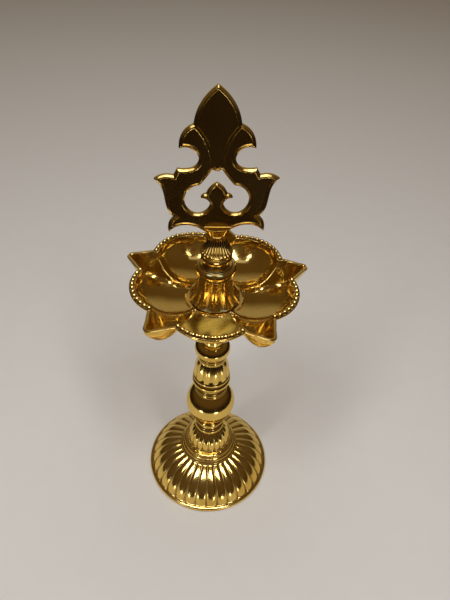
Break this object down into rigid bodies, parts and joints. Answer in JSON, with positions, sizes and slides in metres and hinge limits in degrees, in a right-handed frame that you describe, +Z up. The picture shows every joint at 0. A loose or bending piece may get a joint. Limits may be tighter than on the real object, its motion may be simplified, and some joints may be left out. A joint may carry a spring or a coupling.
{
  "type": "standing oil lamp",
  "caption": "Tall standing oil lamp in polished brass: gadrooned foot, turned baluster stem, lobed oil bowl with pointed wick spouts, and a pierced leaf-shaped plate on top.",
  "frame": {"origin": "on the lamp's axis, in the plane that the foot stands on", "axes": "+Z up the lamp's axis; -Y is the front, the side from which the plate is seen face on; +X to the right seen from the front"},
  "size_m": [0.1109, 0.1083, 0.305],
  "materials": {
    "brass": "cast, turned and highly polished",
    "plate_brass": "cast with recessed panels, polished",
    "stud_brass": "threaded rod, unpolished",
    "nut_steel": "plain zinc-plated",
    "leather": "oiled washer"
  },
  "bodies": {
    "foot": {"foot_dome": "brass", "foot_washer": "nut_steel", "foot_nut": "nut_steel"},
    "foot_screw_stud": {"foot_stud": "stud_brass"},
    "stem": {"pedestal_bell": "brass", "pedestal_stud": "stud_brass", "stem_ball": "brass", "ball_stud": "stud_brass", "stem_vase": "brass", "vase_stud": "stud_brass", "stem_bulb": "brass", "bowl_seal": "leather"},
    "bowl_screw_stud": {"bowl_stud": "stud_brass"},
    "bowl": {"oil_bowl": "brass", "column_gasket": "leather", "bowl_column": "brass"},
    "finial_screw_stud": {"finial_stud": "stud_brass"},
    "finial": {"finial_bulb": "brass", "plate_stud": "stud_brass", "prabhavali_plate": "plate_brass"}
  },
  "joints": [
    {"name": "foot_screw", "type": "hinge", "parent": "foot", "child": "foot_screw_stud", "pos_m": [0, 0, 0.031], "axis": [0, 0, 1], "range_deg": [0, 2160]},
    {"name": "foot_lift", "type": "slide", "parent": "foot_screw_stud", "child": "stem", "axis": [0, 0, 1], "range_m": [0, 0.009]},
    {"name": "bowl_screw", "type": "hinge", "parent": "stem", "child": "bowl_screw_stud", "pos_m": [0, 0, 0.172], "axis": [0, 0, 1], "range_deg": [0, 2160]},
    {"name": "bowl_lift", "type": "slide", "parent": "bowl_screw_stud", "child": "bowl", "axis": [0, 0, 1], "range_m": [0, 0.009]},
    {"name": "finial_screw", "type": "hinge", "parent": "bowl", "child": "finial_screw_stud", "pos_m": [0, 0, 0.2042], "axis": [0, 0, 1], "range_deg": [0, 2160]},
    {"name": "finial_lift", "type": "slide", "parent": "finial_screw_stud", "child": "finial", "axis": [0, 0, 1], "range_m": [0, 0.009]}
  ],
  "couplings": [
    {"joint": "foot_lift", "follows": "foot_screw", "m_per_rad": 0.00023873},
    {"joint": "bowl_lift", "follows": "bowl_screw", "m_per_rad": 0.00023873},
    {"joint": "finial_lift", "follows": "finial_screw", "m_per_rad": 0.00023873}
  ]
}
